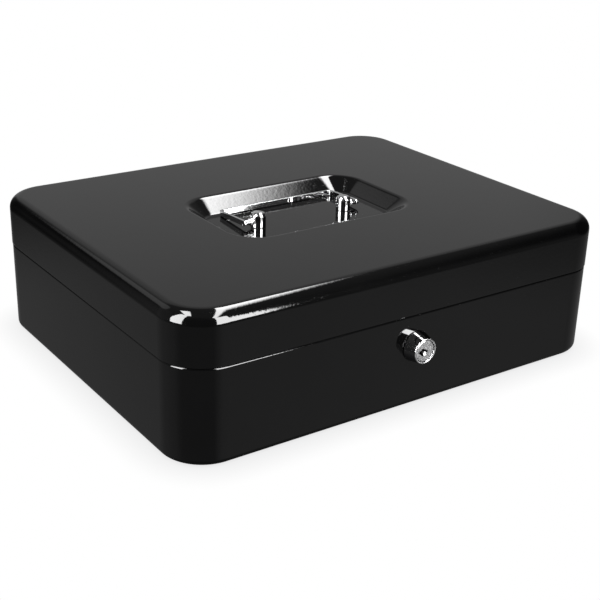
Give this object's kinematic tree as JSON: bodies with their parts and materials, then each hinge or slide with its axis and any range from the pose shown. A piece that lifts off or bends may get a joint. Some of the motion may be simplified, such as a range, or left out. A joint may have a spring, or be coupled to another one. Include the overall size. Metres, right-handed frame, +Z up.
{
  "type": "cash box",
  "caption": "Steel cash box with a hinged lid, recessed folding carry handle, cam lock on the front and a lift-out coin tray.",
  "frame": {"origin": "centre of the footprint, on the resting face under the base", "axes": "+X along the long side, the lock faces -Y and the hinges +Y, +Z up"},
  "size_m": [0.3, 0.2508, 0.089],
  "materials": {
    "black_paint": "gloss black baked enamel on pressed sheet steel",
    "chrome_plate": "bright chrome plate",
    "zinc_plate": "bright zinc plate",
    "brass_wafer": "stamped brass",
    "tray_plastic": "black moulded polystyrene, fine satin grain"
  },
  "bodies": {
    "base": {"base_shell": "black_paint", "hinge_base_leaf_left": "black_paint", "hinge_base_leaf_right": "black_paint", "hinge_pin_left": "zinc_plate", "hinge_pin_right": "zinc_plate", "lock_body": "chrome_plate", "lock_nut": "zinc_plate", "tray_ledge_left": "black_paint", "tray_ledge_right": "black_paint"},
    "lid": {"lid_shell": "black_paint", "hinge_lid_leaf_left": "black_paint", "hinge_lid_leaf_right": "black_paint", "handle_post_left": "chrome_plate", "handle_post_right": "chrome_plate", "post_washer_left": "zinc_plate", "post_washer_right": "zinc_plate", "lid_strike": "zinc_plate"},
    "bail": {"handle_bail": "chrome_plate", "bail_pivot_left": "chrome_plate", "bail_pivot_right": "chrome_plate"},
    "lock": {"lock_plug": "chrome_plate", "lock_cam": "zinc_plate", "cam_screw": "zinc_plate", "wafer_1": "brass_wafer", "wafer_2": "brass_wafer", "wafer_3": "brass_wafer", "wafer_4": "brass_wafer"},
    "tray": {"coin_tray": "tray_plastic"}
  },
  "joints": [
    {"name": "lid_hinge", "type": "hinge", "parent": "base", "child": "lid", "pos_m": [0, 0.1206, 0.057], "axis": [-1, 0, 0], "range_deg": [0, 100]},
    {"name": "bail_hinge", "type": "hinge", "parent": "lid", "child": "bail", "pos_m": [0, -0.0042, 0.08315], "axis": [1, 0, 0], "range_deg": [0, 165]},
    {"name": "lock_turn", "type": "hinge", "parent": "base", "child": "lock", "pos_m": [0, -0.1282, 0.03735], "axis": [0, 1, 0], "range_deg": [0, 90]},
    {"name": "tray_lift", "type": "slide", "parent": "base", "child": "tray", "axis": [0, 0, 1], "range_m": [0, 0.016]}
  ]
}
